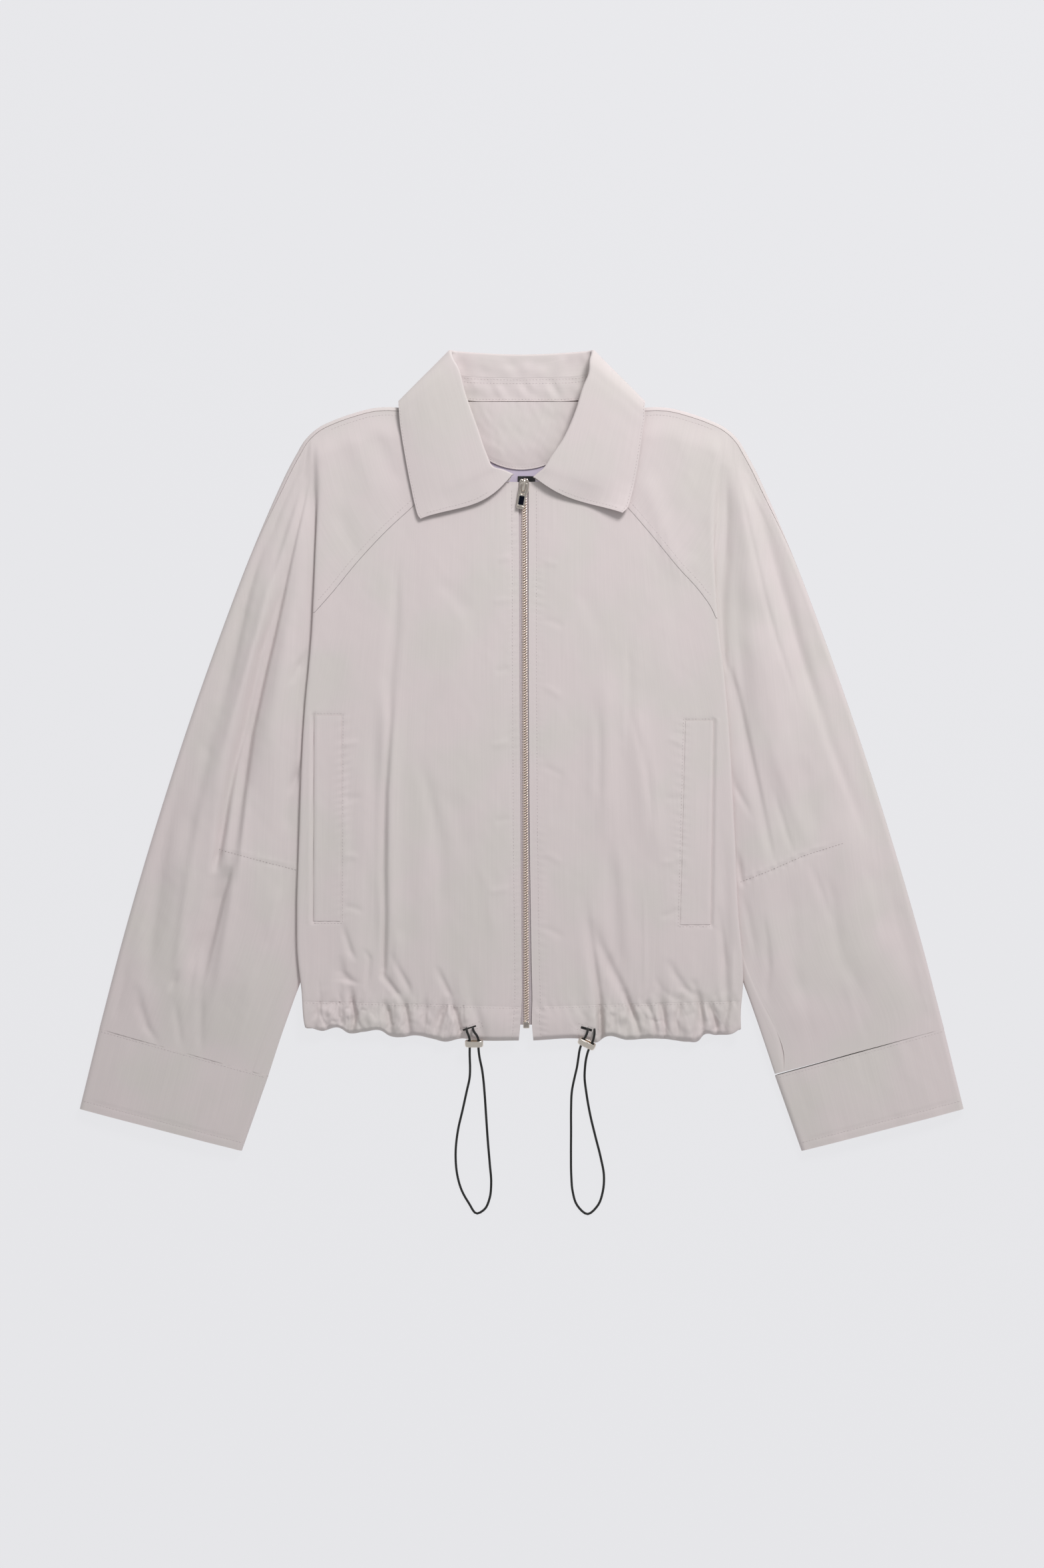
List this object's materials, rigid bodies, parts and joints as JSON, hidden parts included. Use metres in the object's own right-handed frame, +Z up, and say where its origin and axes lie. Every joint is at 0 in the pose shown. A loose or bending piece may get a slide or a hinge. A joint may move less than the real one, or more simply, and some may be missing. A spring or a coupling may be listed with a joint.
{
  "type": "jacket",
  "caption": "Cropped zip jacket with raglan sleeves, turned-down collar, welt pockets, deep cuffs and a gathered hem with elastic cords, laid flat.",
  "frame": {"origin": "middle of the jacket's outline without its free cords, on the surface that it lies on", "axes": "+X towards the wearer's left (the right of a front view), +Y from hem to collar, +Z up from the surface through back and front"},
  "size_m": [0.8112, 0.7939, 0.0194],
  "materials": {
    "cotton_cloth": "matt, fine plain weave",
    "lilac_inner_cloth": "matt, brushed",
    "black_label_cloth": "satin weave",
    "zip_tape": "matt, herringbone",
    "zip_metal": "plated, polished",
    "elastic_cord": "matt, braided",
    "lock_metal": "plated, polished"
  },
  "bodies": {
    "jacket": {"back": "cotton_cloth", "front_left": "cotton_cloth", "front_right": "cotton_cloth", "sleeve_front_left": "cotton_cloth", "sleeve_back_left": "cotton_cloth", "sleeve_front_right": "cotton_cloth", "sleeve_back_right": "cotton_cloth", "cuff_left": "cotton_cloth", "cuff_right": "cotton_cloth", "hem_front_left": "cotton_cloth", "hem_front_right": "cotton_cloth", "hem_back": "cotton_cloth", "collar": "cotton_cloth", "collar_stand": "cotton_cloth", "welt_left": "cotton_cloth", "welt_right": "cotton_cloth", "back_facing": "lilac_inner_cloth", "label": "black_label_cloth", "zip_tape_left": "zip_tape", "zip_tape_right": "zip_tape", "zip_chain": "zip_metal", "zip_slider": "zip_metal", "zip_box": "zip_metal", "hem_cord_left": "elastic_cord", "hem_cord_right": "elastic_cord", "cord_lock_left": "lock_metal", "cord_lock_right": "lock_metal"},
    "pull_tab": {"zip_pull": "zip_metal"}
  },
  "joints": [
    {"name": "pull_tab_swing", "type": "hinge", "parent": "jacket", "child": "pull_tab", "pos_m": [0.0023, 0.2446, 0.0132], "axis": [-0.9863, 0.165, 0], "range_deg": [0, 160]}
  ]
}
